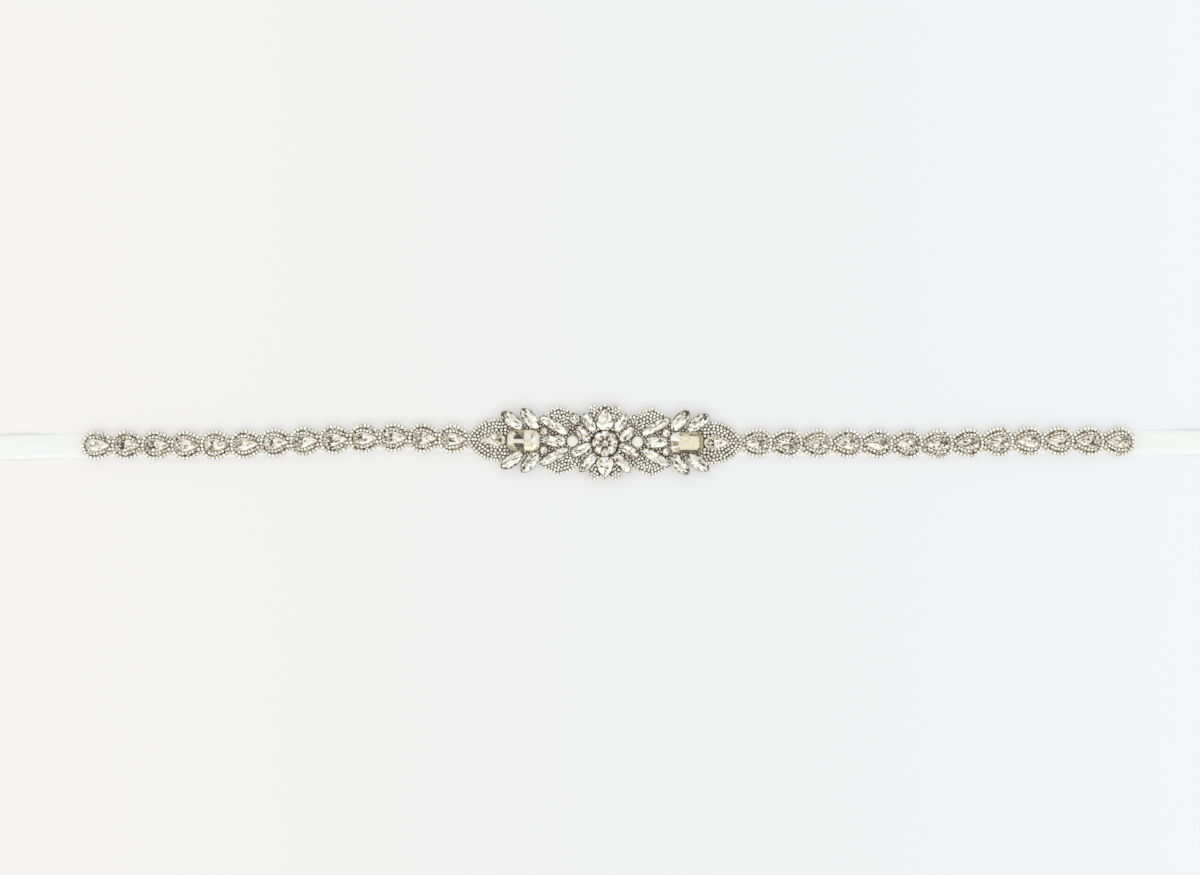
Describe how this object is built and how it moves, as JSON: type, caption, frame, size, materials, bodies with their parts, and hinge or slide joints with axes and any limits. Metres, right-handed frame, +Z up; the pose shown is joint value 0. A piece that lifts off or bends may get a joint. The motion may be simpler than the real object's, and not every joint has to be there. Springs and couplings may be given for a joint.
{
  "type": "bridal sash",
  "caption": "Bridal sash laid flat: a narrow white satin ribbon with a long crystal applique of teardrop links and a large leaf-and-flower middle motif",
  "frame": {"origin": "centre of the bounding box on the surface that the sash lies on, within a millimetre of the point below the middle of the motif", "axes": "+X along the sash, to the right for someone who looks at its face with the motif's one pad stone at the upper left; +Y across the ribbon towards that upper edge; +Z up, out of the face"},
  "size_m": [1.7001, 0.0648, 0.0092],
  "materials": {
    "satin": "white double-face polyester satin ribbon, soft sheen, woven selvedge",
    "backing": "off-white felt backing, matt",
    "rhinestone": "small foiled crystals in silver-coloured metal cups",
    "crystal": "clear foil-backed cut crystal in claw settings",
    "opal": "milky white opal glass, polished dome",
    "setting": "silver-coloured cast metal, slightly darkened"
  },
  "bodies": {
    "root": {"backing": "backing", "cabochon_left": "opal", "cabochon_right": "opal", "flower_base": "setting", "leaf_left": "rhinestone", "leaf_right": "rhinestone", "link_left_01": "rhinestone", "link_left_02": "rhinestone", "link_left_03": "rhinestone", "link_left_04": "rhinestone", "link_left_05": "rhinestone", "link_left_06": "rhinestone", "link_left_07": "rhinestone", "link_left_08": "rhinestone", "link_left_09": "rhinestone", "link_left_10": "rhinestone", "link_left_11": "rhinestone", "link_left_12": "rhinestone", "link_left_13": "rhinestone", "link_right_01": "rhinestone", "link_right_02": "rhinestone", "link_right_03": "rhinestone", "link_right_04": "rhinestone", "link_right_05": "rhinestone", "link_right_06": "rhinestone", "link_right_07": "rhinestone", "link_right_08": "rhinestone", "link_right_09": "rhinestone", "link_right_10": "rhinestone", "link_right_11": "rhinestone", "link_right_12": "rhinestone", "link_right_13": "rhinestone", "pad_lower_left": "rhinestone", "pad_lower_right": "rhinestone", "pad_upper_left": "rhinestone", "pad_upper_right": "rhinestone", "petal_lower_middle": "crystal", "petal_upper_middle": "crystal", "petals_lower_left": "crystal", "petals_lower_right": "crystal", "petals_upper_left": "crystal", "petals_upper_right": "crystal", "rectangle_left": "crystal", "rectangle_right": "crystal", "ribbon": "satin", "rosette": "crystal", "small_round_lower_left": "crystal", "small_round_lower_right": "crystal", "small_round_upper_left": "crystal", "small_round_upper_right": "crystal", "spray_long_lower_left": "crystal", "spray_long_lower_right": "crystal", "spray_long_upper_left": "crystal", "spray_long_upper_right": "crystal", "spray_middle_left": "crystal", "spray_middle_right": "crystal", "wing_lower_left": "crystal", "wing_lower_right": "crystal", "wing_upper_left": "crystal", "wing_upper_right": "crystal"}
  },
  "joints": []
}
